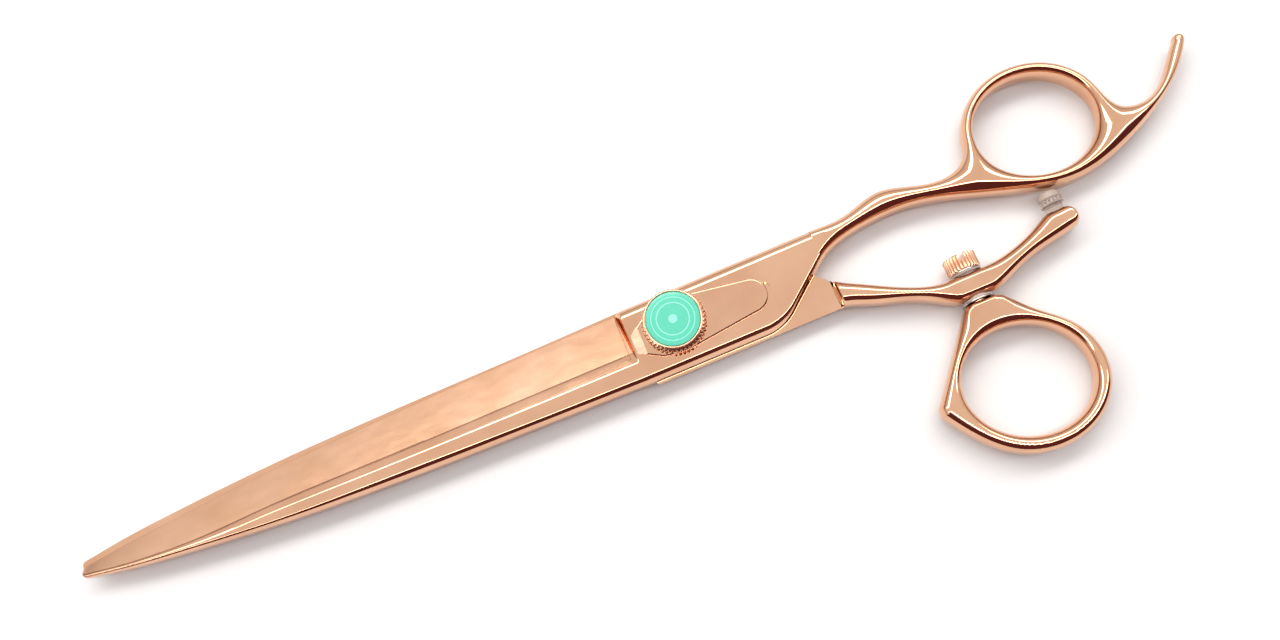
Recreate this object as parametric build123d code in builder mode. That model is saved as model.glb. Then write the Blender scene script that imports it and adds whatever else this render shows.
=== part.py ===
from build123d import *
import os

# Hair-cutting shears with a swivelling thumb ring, a finger rest and a tension dial.
# Frame, in millimetres: the pivot axis is Z, the resting plane is z = 0, the blades point
# along -X, the handles along +X, and the finger ring lies on the +Y side.
# The closed pair is drawn. The finger half is the upper layer, the thumb half the lower one.

os.makedirs("parts", exist_ok=True)

# ---- layers along the pivot ----
HEAD_T = 0.8                          # rear head of the pivot screw
BLADE_T = 3.0                         # thickness of each half at the pivot
SLIDE_GAP = 0.05                      # between the two inner faces
RUN_GAP = 0.03                        # radial or axial gap of a running fit
FIT_GAP = 0.01                        # between pieces that don't move on each other
OVERCUT = 0.5                         # how far a cut starts outside its piece
EDGE_BREAK = 0.25                     # chamfer on turned edges
Z_REAR = HEAD_T
Z_INNER = Z_REAR + BLADE_T            # inner face of the thumb half
Z_FRONT = Z_INNER + SLIDE_GAP         # inner face of the finger half
Z_TOP = Z_FRONT + BLADE_T             # outer face of the finger half
Z_MID = (Z_INNER + Z_FRONT) / 2

# ---- blades: x station, then y of spine, facet, ridge and edge, then heights over the inner face ----
# (x, spine, facet outer, facet inner, ridge, edge, wall height, facet height, ridge height)
BLADE_STATIONS = [
    (-8.5, -8.4, -7.0, -3.3, -2.3, 6.1, 1.5, 3.0, 2.65),
    (-30.0, -7.9, -6.6, -3.6, -2.25, 5.9, 1.5, 3.0, 2.65),
    (-54.0, -7.3, -5.9, -3.8, -2.35, 5.4, 1.5, 3.0, 2.65),
    (-80.0, -6.0, -5.1, -3.7, -2.3, 4.45, 1.4, 3.0, 2.6),
    (-97.0, -4.4, -3.6, -3.3, -2.8, 3.3, 1.2, 2.75, 2.45),
    (-110.0, -2.75, -2.15, -2.0, -1.8, 2.15, 0.9, 2.1, 1.95),
    (-118.4, -1.2, -0.75, -0.65, -0.5, 1.2, 0.6, 1.45, 1.35),
]
FACE_CROWN = 0.12                     # bulge of the convex ground face
MIDLINE_Y = -0.92                     # each thumb-blade section is turned about this line,
MIDLINE_BOW = 1.0e-4                  # which bows towards +Y at the tip
TIP_NOSE = 0.7                        # blunt nose beyond the last station
NOSE_WIDTH = 0.6                      # its end face against the last station
NOSE_HEIGHT = 0.85

# ---- tangs: the flat parts round the pivot ----
RICASSO_X = -8.5                      # where the finger blade's ground face ends
THUMB_RICASSO_X = -6.8
FINGER_TANG_TOP = 6.4                 # y of the long edges
FINGER_TANG_LOW = -8.4
THUMB_TANG_TOP = 6.6
THUMB_TANG_LOW = -8.9
TANG_CORNER_X = 18.5                  # where a long edge turns to the diagonal
TANG_CORNER_R = 10.0
FINGER_DIAGONAL_END = 0.2             # y where the diagonal edges meet the handles
THUMB_DIAGONAL_END = -3.4
WELD_X = 29.0                         # the blade steel is welded to the handle here
TANG_BEVEL = 1.2

# ---- handles ----
HANDLE_T = 6.0
HANDLE_Z = Z_MID - HANDLE_T / 2
HANDLE_TOP = HANDLE_Z + HANDLE_T
HANDLE_SPAN = 60.0                    # more than the handle's reach in Y
EDGE_R = 0.9                          # rounding of the handle edges
HOLE_EDGE_R = 0.75                    # rounding inside the finger holes
RIM_RISE = 0.9                        # tells rim edges from upright ones
RIM_DROP = 1.7                        # the rim of the thinning rest lies this much lower
REST_THIN_X = 88.0                    # the finger rest thins from here
REST_END_X = 107.0
REST_END_T = 3.0
FINGER_HOLE = (74.6, 8.4)             # centre of the finger hole
FINGER_HOLE_R = (11.1, 9.5)           # half axes
FINGER_HOLE_TURN = -10.0
FINGER_RING = (74.6, 8.2)             # centre of the ring's outside
FINGER_RING_R = (13.4, 12.2)
FINGER_RING_TURN = -8.0
THUMB_HOLE = (53.3, -33.6)
THUMB_HOLE_R = (11.4, 9.9)
THUMB_HOLE_TURN = -17.0
THUMB_SPUR = (36.4, -33.3)            # before rounding
SPUR_R = 1.6
BOSS_R = 1.2

# ---- thumb swivel, its axis parallel to Y ----
SWIVEL_X = 51.8
EYE_TOP_Y = -12.0                     # the two seats of the handle's eye
EYE_LOW_Y = -16.8
WASHER_R = 2.9
LOW_WASHER_R = 3.05
BUSH_SLEEVE = 2.2                     # how far each bush reaches into the eye
FLANGE_T = 0.28
WASHER_T = 0.3
SWIVEL_SHAFT_R = 1.5
SWIVEL_BORE_R = 2.2
SWIVEL_HEAD_R = 3.05
SWIVEL_HEAD_T = 3.0
SWIVEL_SLOT = (1.2, 1.4)              # width and depth
SWIVEL_KNURLS = 26
SWIVEL_GROOVE = (0.2, 0.08)           # radius of a groove, and how far out its centre lies
SWIVEL_TIP_Y = -21.2                  # end of the screw in the ring's boss

# ---- bumper between the handles ----
BUMPER_X = 71.3
BUMPER_SEAT_Y = -7.6
BUMPER_STEM = 1.9                     # length inside the handle
BUMPER_BORE = 2.0
BUMPER_NECK_R = 1.6
BUMPER_COLLAR_R = 2.15
BUMPER_DOME_R = 2.05
BUMPER_COLLAR_Y = (-6.5, -5.25)
BUMPER_TOP_Y = -3.65
BUMPER_CROWN_R = 1.3

# ---- pivot and tension dial ----
REAR_HEAD_R = 4.7
SHAFT_R = 2.5
SHAFT_FLATS = 4.2                     # across the two flats that key the screw
THREAD_R = 2.0
THREAD_TOP = 9.5
BUSH_R = 3.5
THRUST_R = 5.3
THRUST_T = 0.6
PLATE_T = 0.5
PLATE_NOSE_X = -8.3
PLATE_TAIL = (14.6, -0.95)            # centre of the round tail
PLATE_TAIL_R = 3.1
PLATE_CLEARANCE = 0.2                 # round the screw's thread
PLATE_SLOPE_X = -5.0                  # the nose is bevelled beyond here
PLATE_SLOPE = 0.35
NOTCH = (17.5, -0.45)                 # half-moon behind the tail, to lift the plate
NOTCH_R = 0.95
NOTCH_DEPTH = 0.6
DIAL_Z = Z_TOP + PLATE_T + 0.1
DIAL_TOP = 10.4
DIAL_BASE_R = 5.7
KNURL_R = 6.0
KNURL_Z = (DIAL_Z + 0.35, DIAL_Z + 1.25)
KNURLS = 44
KNURL_GROOVE = (0.3, 0.12)            # radius of a groove, and how far out its centre lies
KNURL_SLOPE = 0.3
DIAL_NECK_R = 5.1
DIAL_NECK_TOP = KNURL_Z[1] + 0.7
DIAL_RIM_R = 5.35
DIAL_RIM_SLOPE = 0.2
INSERT_R = 5.05
INSERT_T = 0.35
INSERT_BEVEL = 0.12
WAVE_R = (2.7, 4.6)
WAVE_T = 0.3
WAVE_RECESS_GAP = 0.15
WAVE_RECESS_T = 0.25


def midline(x):
    """y of the line that the two halves are turned about."""
    return MIDLINE_Y + MIDLINE_BOW * x**2


def blade_section(station, turned):
    """One cross-section of a blade as a face; a turned one belongs to the thumb half."""
    x, spine, facet_out, facet_in, ridge, edge, wall_h, facet_h, ridge_h = station
    profile = [
        (edge, 0),
        (spine, 0),
        (spine, wall_h),
        (facet_out, facet_h),
        (facet_in, facet_h),
        (ridge, ridge_h),
    ]
    crown = ((ridge + edge) / 2, ridge_h / 2 + FACE_CROWN)
    if turned:
        profile = [(2 * midline(x) - y, Z_INNER - h) for y, h in profile]
        crown = (2 * midline(x) - crown[0], Z_INNER - crown[1])
    else:
        profile = [(y, Z_FRONT + h) for y, h in profile]
        crown = (crown[0], Z_FRONT + crown[1])
    with BuildSketch(Plane.YZ.offset(x)) as section:
        with BuildLine():
            Polyline(*profile)
            ThreePointArc(profile[-1], crown, profile[0])
        make_face()
    return section.sketch.face()


def blade_sections(turned, ricasso_x):
    """All the sections of a blade from its ricasso on, with a short blunt nose at the tip."""
    last_x, *sizes = BLADE_STATIONS[-1]
    widths = [NOSE_WIDTH * y for y in sizes[:5]]
    heights = [NOSE_HEIGHT * h for h in sizes[5:]]
    nose = (last_x - TIP_NOSE, *widths, *heights)
    first = (ricasso_x, *BLADE_STATIONS[0][1:])
    return [blade_section(station, turned) for station in [first] + BLADE_STATIONS[1:] + [nose]]


def tang_outline(z, start, low, top, low_end, top_end):
    """A tang's outline at height z: long straight edges, one turning diagonally to its handle."""
    if low_end > low:
        corner = (TANG_CORNER_X, low)
        points = [(start, low), corner, (WELD_X, low_end), (WELD_X, top_end), (start, top)]
    else:
        corner = (TANG_CORNER_X, top)
        points = [(start, low), (WELD_X, low_end), (WELD_X, top_end), corner, (start, top)]
    with BuildSketch(Plane.XY.offset(z)) as outline:
        with BuildLine():
            Polyline(*points, close=True)
        make_face()
        fillet(outline.vertices().sort_by_distance((*corner, z))[0], radius=TANG_CORNER_R)
    return outline.sketch


def runs_lengthwise(edge):
    """True for an edge of a tang's outer face that isn't at one of its two ends."""
    x = (edge @ 0.5).X
    return THUMB_RICASSO_X + 0.1 < x < WELD_X - 0.1


def turns_over_rim(edge):
    """True for an edge that lies flat in the top or bottom face of a handle."""
    start, middle = edge @ 0, edge @ 0.5
    flat = abs(start.Z - middle.Z) < RIM_RISE
    return flat and abs(abs(middle.Z - Z_MID) - HANDLE_T / 2) < RIM_DROP


def beyond_weld(edge):
    """True for an edge that isn't in the weld face."""
    return (edge @ 0.5).X > WELD_X + 0.1


def is_loop(edge):
    """True for an edge that closes on itself, as the rim of a finger hole does."""
    return edge.is_closed


def cross_plane(x, y):
    """A plane square to Y at (x, y), facing +Y, at the handles' mid height."""
    return Plane(origin=(x, y, Z_MID), x_dir=(1, 0, 0), z_dir=(0, 1, 0))


def swivel_plane(y):
    """A plane square to the swivel axis at y."""
    return cross_plane(SWIVEL_X, y)


def bumper_plane(y):
    """A plane square to the bumper's axis at y."""
    return cross_plane(BUMPER_X, y)


# ================= finger half =================

with BuildPart() as finger_blade:
    ends = (FINGER_DIAGONAL_END, FINGER_TANG_TOP)
    outline = tang_outline(Z_FRONT, RICASSO_X, FINGER_TANG_LOW, FINGER_TANG_TOP, *ends)
    extrude(outline, amount=BLADE_T)
    chamfer(edges().group_by(Axis.Z)[-1].filter_by(runs_lengthwise), length=TANG_BEVEL)
    loft(blade_sections(turned=False, ricasso_x=RICASSO_X), ruled=True)
    # keyed hole for the pivot screw
    with BuildSketch(Plane.XY.offset(Z_FRONT)):
        Circle(SHAFT_R + FIT_GAP)
        Rectangle(3 * SHAFT_R, SHAFT_FLATS + 2 * FIT_GAP, mode=Mode.INTERSECT)
    extrude(amount=BLADE_T, mode=Mode.SUBTRACT)
    # half-moon notch behind the click plate's tail
    with BuildSketch(Plane.XY.offset(Z_TOP)):
        with Locations(NOTCH):
            Circle(NOTCH_R)
    extrude(amount=-NOTCH_DEPTH, mode=Mode.SUBTRACT)
finger_blade.part.label = "finger_blade"
export_step(finger_blade.part, "parts/finger_blade.step")

with BuildPart() as finger_handle:
    with BuildSketch(Plane.XY.offset(HANDLE_Z)):
        with BuildLine():
            ring_arc = EllipticalCenterArc(
                FINGER_RING,
                *FINGER_RING_R,
                start_angle=33,
                arc_size=143,
                rotation=FINGER_RING_TURN,
            )
            Spline(
                (WELD_X, FINGER_TANG_TOP),
                (36.0, 6.6),
                (43.3, 8.35),
                (50.0, 6.7),
                (55.4, 5.85),
                (59.7, 7.4),
                ring_arc @ 1,
                tangents=[(1, 0), -(ring_arc % 1)],
            )
            rest_top = Spline(
                ring_arc @ 0,
                (90.0, 5.7),
                (93.6, 4.6),
                (98.4, 6.7),
                (104.2, 13.1),
                tangents=[-(ring_arc % 0), (0.7, 0.7)],
            )
            tip_arc = ThreePointArc(rest_top @ 1, (105.9, 13.9), (106.3, 12.5))
            Spline(
                tip_arc @ 1,
                (102.7, 7.9),
                (97.1, 3.5),
                (88.4, -1.0),
                (76.5, -3.8),
                (68.7, -2.4),
                (57.0, 1.4),
                (47.0, 3.65),
                (38.5, 3.4),
                (WELD_X, FINGER_DIAGONAL_END),
                tangents=[(-0.5, -0.85), (-1, -0.82)],
            )
            Line((WELD_X, FINGER_DIAGONAL_END), (WELD_X, FINGER_TANG_TOP))
        make_face()
    extrude(amount=HANDLE_T)
    with BuildSketch(Plane.XY.offset(HANDLE_Z)):
        with Locations(Location(FINGER_HOLE, FINGER_HOLE_TURN)):
            Ellipse(*FINGER_HOLE_R)
    extrude(amount=HANDLE_T, mode=Mode.SUBTRACT)
    # seen from the side, the finger rest thins towards its tip
    with BuildSketch(Plane.XZ):
        with BuildLine():
            Polyline(
                (WELD_X, HANDLE_Z),
                (REST_THIN_X, HANDLE_Z),
                (REST_END_X, Z_MID - REST_END_T / 2),
                (REST_END_X, Z_MID + REST_END_T / 2),
                (REST_THIN_X, HANDLE_TOP),
                (WELD_X, HANDLE_TOP),
                close=True,
            )
        make_face()
    extrude(amount=HANDLE_SPAN, both=True, mode=Mode.INTERSECT)
    fillet(edges().filter_by(turns_over_rim).filter_by(is_loop), radius=HOLE_EDGE_R)
    outer_rims = edges().filter_by(turns_over_rim).filter_by(beyond_weld).filter_by(is_loop, reverse=True)
    fillet(outer_rims, radius=EDGE_R)
finger_handle.part.label = "finger_handle"
export_step(finger_handle.part, "parts/finger_handle.step")

with BuildPart() as pivot_screw:
    # flat rear head, on which the shears rest
    Cylinder(REAR_HEAD_R, HEAD_T - FIT_GAP, align=(Align.CENTER, Align.CENTER, Align.MIN))
    chamfer(edges().group_by(Axis.Z)[0], length=EDGE_BREAK)
    Cylinder(SHAFT_R, Z_INNER, align=(Align.CENTER, Align.CENTER, Align.MIN))
    # two flats key it in the finger half
    with BuildSketch(Plane.XY.offset(Z_INNER)):
        Circle(SHAFT_R)
        Rectangle(2 * SHAFT_R, SHAFT_FLATS, mode=Mode.INTERSECT)
    extrude(amount=Z_TOP - Z_INNER)
    with BuildSketch(Plane.XY.offset(Z_TOP)):
        Circle(THREAD_R)
    extrude(amount=THREAD_TOP - Z_TOP)
    chamfer(edges().group_by(Axis.Z)[-1], length=EDGE_BREAK)
pivot_screw.part.label = "pivot_screw"
export_step(pivot_screw.part, "parts/pivot_screw.step")

with BuildPart() as click_plate:
    # teardrop plate round the screw, with a pointed nose and a springy round tail
    with BuildSketch(Plane.XY.offset(Z_TOP)):
        with BuildLine():
            tail_x, tail_y = PLATE_TAIL
            upper = Line((4.3, 3.95), (tail_x + 0.6, tail_y + PLATE_TAIL_R))
            ThreePointArc(upper @ 1, (tail_x + PLATE_TAIL_R, tail_y), (tail_x + 0.3, tail_y - PLATE_TAIL_R))
            lower = Line((tail_x + 0.3, tail_y - PLATE_TAIL_R), (3.4, -5.35))
            ThreePointArc(lower @ 1, (-0.5, -5.6), (-4.2, -5.0))
            Polyline((-4.2, -5.0), (PLATE_NOSE_X, -2.7), (PLATE_NOSE_X, 0.8), (-5.0, 3.2))
            ThreePointArc((-5.0, 3.2), (-0.2, 4.3), upper @ 0)
        make_face()
        Circle(THREAD_R + PLATE_CLEARANCE, mode=Mode.SUBTRACT)
    extrude(amount=PLATE_T)
    nose_edges = edges().group_by(Axis.Z)[-1].filter_by(lambda e: (e @ 0.5).X < PLATE_SLOPE_X)
    chamfer(nose_edges, length=PLATE_SLOPE)
click_plate.part.label = "click_plate"
export_step(click_plate.part, "parts/click_plate.step")

with BuildPart() as wave_washer:
    with BuildSketch(Plane.XY.offset(Z_TOP + PLATE_T)):
        Circle(WAVE_R[1])
        Circle(WAVE_R[0], mode=Mode.SUBTRACT)
    extrude(amount=WAVE_T)
wave_washer.part.label = "wave_washer"
export_step(wave_washer.part, "parts/wave_washer.step")

# ================= tension dial =================

with BuildPart() as dial_knob:
    knurl_low, knurl_high = KNURL_Z
    knurl_end = knurl_high + KNURL_SLOPE
    with BuildSketch(Plane.XZ):
        with BuildLine():
            Polyline(
                (0, DIAL_Z),
                (DIAL_BASE_R, DIAL_Z),
                (KNURL_R, knurl_low),
                (KNURL_R, knurl_high),
                (DIAL_NECK_R, knurl_end),
                (DIAL_NECK_R, DIAL_NECK_TOP),
                (DIAL_RIM_R, DIAL_NECK_TOP + DIAL_RIM_SLOPE),
                (DIAL_RIM_R, DIAL_TOP),
                (0, DIAL_TOP),
                close=True,
            )
        make_face()
    revolve(axis=Axis.Z)
    # recess for the coloured insert
    with BuildSketch(Plane.XY.offset(DIAL_TOP)):
        Circle(INSERT_R + FIT_GAP)
    extrude(amount=-INSERT_T, mode=Mode.SUBTRACT)
    # recess for the wave washer and the blind thread
    with BuildSketch(Plane.XY.offset(DIAL_Z)):
        Circle(WAVE_R[1] + WAVE_RECESS_GAP)
    extrude(amount=WAVE_RECESS_T, mode=Mode.SUBTRACT)
    with BuildSketch(Plane.XY.offset(DIAL_Z)):
        Circle(THREAD_R + RUN_GAP)
    extrude(amount=THREAD_TOP + RUN_GAP - DIAL_Z, mode=Mode.SUBTRACT)
    # knurled grip
    groove_r, groove_out = KNURL_GROOVE
    with BuildSketch(Plane.XY.offset(DIAL_Z)):
        with PolarLocations(KNURL_R + groove_out, KNURLS):
            Circle(groove_r)
    extrude(amount=knurl_end - DIAL_Z, mode=Mode.SUBTRACT)
dial_knob.part.label = "dial_knob"
export_step(dial_knob.part, "parts/dial_knob.step")

with BuildPart() as dial_insert:
    with BuildSketch(Plane.XY.offset(DIAL_TOP - INSERT_T)):
        Circle(INSERT_R)
    extrude(amount=INSERT_T - FIT_GAP)
    chamfer(edges().group_by(Axis.Z)[-1], length=INSERT_BEVEL)
dial_insert.part.label = "dial_insert"
export_step(dial_insert.part, "parts/dial_insert.step")

# ================= thumb half =================

with BuildPart() as thumb_blade:
    ends = (THUMB_TANG_LOW, THUMB_DIAGONAL_END)
    outline = tang_outline(Z_REAR, THUMB_RICASSO_X, THUMB_TANG_LOW, THUMB_TANG_TOP, *ends)
    extrude(outline, amount=BLADE_T)
    chamfer(edges().group_by(Axis.Z)[0].filter_by(runs_lengthwise), length=TANG_BEVEL)
    loft(blade_sections(turned=True, ricasso_x=THUMB_RICASSO_X), ruled=True)
    with BuildSketch(Plane.XY.offset(Z_REAR)):
        Circle(BUSH_R + FIT_GAP)
    extrude(amount=BLADE_T, mode=Mode.SUBTRACT)
    with BuildSketch(Plane.XY.offset(Z_INNER)):
        Circle(THRUST_R + FIT_GAP)
    extrude(amount=-THRUST_T, mode=Mode.SUBTRACT)
thumb_blade.part.label = "thumb_blade"
export_step(thumb_blade.part, "parts/thumb_blade.step")

with BuildPart() as thumb_handle:
    with BuildSketch(Plane.XY.offset(HANDLE_Z)):
        with BuildLine():
            top = Spline(
                (WELD_X, THUMB_DIAGONAL_END),
                (33.4, -6.1),
                (40.5, -9.9),
                (48.0, EYE_TOP_Y),
                tangents=[(1, -0.9), (1, 0)],
            )
            seat = Line(top @ 1, (55.2, EYE_TOP_Y))
            post_top = Spline(
                seat @ 1,
                (62.0, -10.8),
                (67.0, -8.7),
                (70.0, BUMPER_SEAT_Y),
                tangents=[(1, 0), (1, 0)],
            )
            stub = Line(post_top @ 1, (72.2, BUMPER_SEAT_Y))
            cap = ThreePointArc(stub @ 1, (74.3, -9.4), (73.4, -11.6))
            post_low = Spline(
                cap @ 1,
                (65.0, -13.4),
                (59.8, -15.2),
                (54.6, EYE_LOW_Y),
                tangents=[(-1, -0.3), (-1, 0)],
            )
            seat_low = Line(post_low @ 1, (49.6, EYE_LOW_Y))
            Spline(
                seat_low @ 1,
                (44.5, -14.6),
                (39.0, -12.2),
                (33.5, -10.35),
                (WELD_X, THUMB_TANG_LOW),
                tangents=[(-1, 0), (-1, 0.1)],
            )
            Line((WELD_X, THUMB_TANG_LOW), (WELD_X, THUMB_DIAGONAL_END))
        make_face()
    extrude(amount=HANDLE_T)
    fillet(edges().filter_by(turns_over_rim).filter_by(beyond_weld), radius=EDGE_R)
    # bored eye for the swivel bushes
    with BuildSketch(swivel_plane(EYE_LOW_Y - OVERCUT)):
        Circle(SWIVEL_BORE_R + FIT_GAP)
    extrude(amount=EYE_TOP_Y - EYE_LOW_Y + 2 * OVERCUT, mode=Mode.SUBTRACT)
    # tapped seat for the bumper's stem
    with BuildSketch(bumper_plane(BUMPER_SEAT_Y + OVERCUT)):
        Circle(BUMPER_NECK_R + FIT_GAP)
    extrude(amount=-BUMPER_BORE - OVERCUT, mode=Mode.SUBTRACT)
thumb_handle.part.label = "thumb_handle"
export_step(thumb_handle.part, "parts/thumb_handle.step")

with BuildPart() as pivot_bush:
    with BuildSketch(Plane.XY.offset(Z_REAR)):
        Circle(BUSH_R)
        Circle(SHAFT_R + RUN_GAP, mode=Mode.SUBTRACT)
    extrude(amount=BLADE_T - THRUST_T - FIT_GAP)
pivot_bush.part.label = "pivot_bush"
export_step(pivot_bush.part, "parts/pivot_bush.step")

with BuildPart() as thrust_washer:
    with BuildSketch(Plane.XY.offset(Z_INNER - THRUST_T)):
        Circle(THRUST_R)
        Circle(SHAFT_R + RUN_GAP, mode=Mode.SUBTRACT)
    extrude(amount=THRUST_T)
thrust_washer.part.label = "thrust_washer"
export_step(thrust_washer.part, "parts/thrust_washer.step")

with BuildPart() as bumper_screw:
    # clear stem and collar that carry the soft dome
    collar_low, collar_high = BUMPER_COLLAR_Y
    with BuildSketch(bumper_plane(BUMPER_SEAT_Y - BUMPER_STEM)):
        Circle(BUMPER_NECK_R)
    extrude(amount=collar_low - BUMPER_SEAT_Y + BUMPER_STEM)
    with BuildSketch(bumper_plane(collar_low)):
        Circle(BUMPER_COLLAR_R)
    extrude(amount=collar_high - collar_low)
bumper_screw.part.label = "bumper_screw"
export_step(bumper_screw.part, "parts/bumper_screw.step")

with BuildPart() as bumper_dome:
    with BuildSketch(bumper_plane(collar_high)):
        Circle(BUMPER_DOME_R)
    extrude(amount=BUMPER_TOP_Y - collar_high)
    fillet(edges().group_by(Axis.Y)[-1], radius=BUMPER_CROWN_R)
bumper_dome.part.label = "bumper_dome"
export_step(bumper_dome.part, "parts/bumper_dome.step")

# two flanged bushes line the eye, one from each side
for name, seat_y, inward in (("upper_swivel_bush", EYE_TOP_Y, -1), ("lower_swivel_bush", EYE_LOW_Y, 1)):
    with BuildPart() as bush:
        with BuildSketch(swivel_plane(seat_y)):
            Circle(WASHER_R)
        extrude(amount=-inward * FLANGE_T)
        with BuildSketch(swivel_plane(seat_y)):
            Circle(SWIVEL_BORE_R)
        extrude(amount=inward * BUSH_SLEEVE)
        with BuildSketch(swivel_plane(seat_y - inward * (FLANGE_T + OVERCUT))):
            Circle(SWIVEL_SHAFT_R + RUN_GAP)
        extrude(amount=inward * (FLANGE_T + BUSH_SLEEVE + 2 * OVERCUT), mode=Mode.SUBTRACT)
    bush.part.label = name
    export_step(bush.part, f"parts/{name}.step")

# ================= swivelling thumb ring =================

washer_top = EYE_TOP_Y + FLANGE_T + RUN_GAP
washer_low = EYE_LOW_Y - FLANGE_T - RUN_GAP - WASHER_T
for name, base_y, radius in (
    ("upper_swivel_washer", washer_top, WASHER_R),
    ("lower_swivel_washer", washer_low, LOW_WASHER_R),
):
    with BuildPart() as washer:
        with BuildSketch(swivel_plane(base_y)):
            Circle(radius)
            Circle(SWIVEL_SHAFT_R + FIT_GAP, mode=Mode.SUBTRACT)
        extrude(amount=WASHER_T)
    washer.part.label = name
    export_step(washer.part, f"parts/{name}.step")

head_base = washer_top + WASHER_T + FIT_GAP
head_top = head_base + SWIVEL_HEAD_T
with BuildPart() as swivel_screw:
    with BuildSketch(swivel_plane(head_base)):
        Circle(SWIVEL_HEAD_R)
    extrude(amount=SWIVEL_HEAD_T)
    chamfer(edges().filter_by(GeomType.CIRCLE), length=EDGE_BREAK)
    groove_r, groove_out = SWIVEL_GROOVE
    with BuildSketch(swivel_plane(head_base)):
        with PolarLocations(SWIVEL_HEAD_R + groove_out, SWIVEL_KNURLS):
            Circle(groove_r)
    extrude(amount=SWIVEL_HEAD_T, mode=Mode.SUBTRACT)
    slot_width, slot_depth = SWIVEL_SLOT
    with BuildSketch(swivel_plane(head_top)):
        Rectangle(slot_width, 3 * SWIVEL_HEAD_R)
    extrude(amount=-slot_depth, mode=Mode.SUBTRACT)
    with BuildSketch(swivel_plane(SWIVEL_TIP_Y)):
        Circle(SWIVEL_SHAFT_R)
    extrude(amount=head_base - SWIVEL_TIP_Y)
    chamfer(edges().group_by(Axis.Y)[0], length=EDGE_BREAK)
swivel_screw.part.label = "swivel_screw"
export_step(swivel_screw.part, "parts/swivel_screw.step")

ring_top = washer_low - FIT_GAP
with BuildPart() as thumb_ring:
    with BuildSketch(Plane.XY.offset(HANDLE_Z)) as outline:
        with BuildLine():
            boss = Line((55.0, ring_top), (48.9, ring_top))
            flank = Line(boss @ 1, THUMB_SPUR)
            Spline(
                flank @ 1,
                (46.8, -45.0),
                (53.4, -46.7),
                (62.0, -44.4),
                (66.8, -38.6),
                (67.3, -32.8),
                (64.9, -27.3),
                (60.0, -22.6),
                boss @ 0,
                tangents=[(0.6, -1), (-1.3, 1)],
            )
        make_face()
        spur = outline.vertices().sort_by_distance((*THUMB_SPUR, HANDLE_Z))[0]
        fillet(spur, radius=SPUR_R)
        boss_corners = outline.vertices().group_by(Axis.Y)[-1]
        fillet(boss_corners, radius=BOSS_R)
    extrude(amount=HANDLE_T)
    with BuildSketch(Plane.XY.offset(HANDLE_Z)):
        with Locations(Location(THUMB_HOLE, THUMB_HOLE_TURN)):
            Ellipse(*THUMB_HOLE_R)
    extrude(amount=HANDLE_T, mode=Mode.SUBTRACT)
    fillet(edges().filter_by(turns_over_rim).filter_by(is_loop), radius=HOLE_EDGE_R)
    fillet(edges().filter_by(turns_over_rim).filter_by(is_loop, reverse=True), radius=EDGE_R)
    # blind threaded hole for the swivel screw
    with BuildSketch(swivel_plane(ring_top + OVERCUT)):
        Circle(SWIVEL_SHAFT_R + FIT_GAP)
    extrude(amount=SWIVEL_TIP_Y - FIT_GAP - ring_top - OVERCUT, mode=Mode.SUBTRACT)
thumb_ring.part.label = "thumb_ring"
export_step(thumb_ring.part, "parts/thumb_ring.step")
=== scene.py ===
import bpy
import bmesh
import math
import numpy as np
from mathutils import Matrix, Vector


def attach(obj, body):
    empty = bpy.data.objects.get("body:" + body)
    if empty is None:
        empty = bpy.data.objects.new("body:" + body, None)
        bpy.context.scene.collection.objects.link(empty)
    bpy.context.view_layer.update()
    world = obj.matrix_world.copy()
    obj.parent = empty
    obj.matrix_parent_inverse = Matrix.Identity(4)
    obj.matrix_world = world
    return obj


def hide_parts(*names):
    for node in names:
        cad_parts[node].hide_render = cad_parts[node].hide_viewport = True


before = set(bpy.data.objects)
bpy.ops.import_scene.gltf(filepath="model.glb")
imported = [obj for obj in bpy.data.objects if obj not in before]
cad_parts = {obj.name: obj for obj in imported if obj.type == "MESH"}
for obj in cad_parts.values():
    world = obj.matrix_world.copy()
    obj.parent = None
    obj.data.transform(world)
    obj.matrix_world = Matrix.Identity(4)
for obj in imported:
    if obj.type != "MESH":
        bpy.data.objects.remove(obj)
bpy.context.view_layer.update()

# Lengths below are millimetres in the part's frame. Meshes are scaled to metres when they are made.
MM = 0.001

# ---- layers and driving sizes, as in the CAD frame ----
Z_INNER = 3.8                         # inner face of the thumb half
Z_FRONT = 3.85                        # inner face of the finger half
Z_MID = 3.825
WELD_X = 29.0                         # blades end and handles begin here
HALF_T = 3.025                        # half the thickness of a handle
ROUND_P = 2.0                         # exponents of the superellipse that rounds every edge
ROUND_Q = 2.6


# ================= curves =================

def unit(vector):
    vector = np.asarray(vector, float)
    return vector / np.linalg.norm(vector)


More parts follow.
